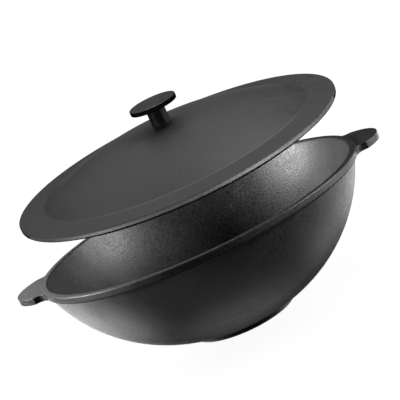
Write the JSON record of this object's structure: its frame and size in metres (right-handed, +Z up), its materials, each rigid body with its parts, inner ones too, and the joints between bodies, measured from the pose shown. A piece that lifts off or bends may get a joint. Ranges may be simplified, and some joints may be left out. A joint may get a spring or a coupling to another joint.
{
  "type": "wok with lid",
  "caption": "Deep round-bottomed cast iron wok with a flat foot, a rim band and flat ear handles, and a low domed lid with a disc knob, lifted off.",
  "frame": {"origin": "centre of the flat face under the wok's foot", "axes": "+Z up along the bowl's axis, X along the line through the two ear handles, -Y towards the side that the picture is taken from"},
  "size_m": [0.4152, 0.3606, 0.251],
  "materials": {
    "wok_iron": "satin black seasoned iron with a fine cast grain",
    "lid_iron": "satin black seasoned iron with a fine cast grain",
    "knob_iron": "satin black seasoned iron with a fine cast grain",
    "screw_steel": "plain bright steel"
  },
  "bodies": {
    "root": {"wok": "wok_iron", "lid": "lid_iron", "knob": "knob_iron", "knob_screw": "screw_steel"}
  },
  "joints": []
}
